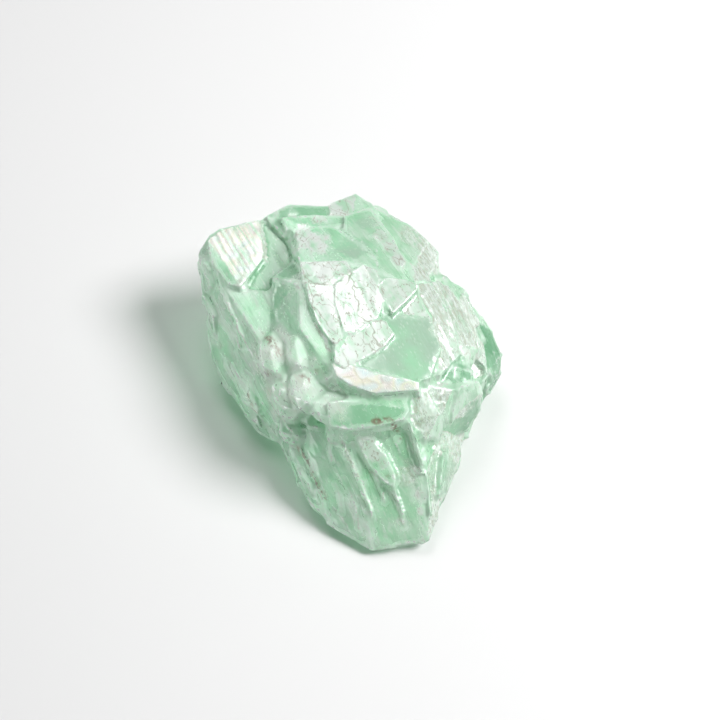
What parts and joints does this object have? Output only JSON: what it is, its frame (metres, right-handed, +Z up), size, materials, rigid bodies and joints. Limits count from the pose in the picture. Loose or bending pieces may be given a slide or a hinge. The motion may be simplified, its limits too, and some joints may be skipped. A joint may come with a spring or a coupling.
{
  "type": "phosphophyllite crystal",
  "caption": "Rough mint-green translucent crystal fragment with stepped cleavage faces and a tapered tip, resting on a flat cleavage face.",
  "frame": {"origin": "on the floor, under the centre of the bounding box", "axes": "+Z up from the resting face, -Y towards the tapered tip, +X to the right when the tip points at the viewer"},
  "size_m": [0.0176, 0.0198, 0.0092],
  "materials": {
    "crystal": "translucent mint green, glassy on fresh fractures and pearly white on cleavage sheets"
  },
  "bodies": {
    "root": {"phosphophyllite_crystal": "crystal"}
  },
  "joints": []
}
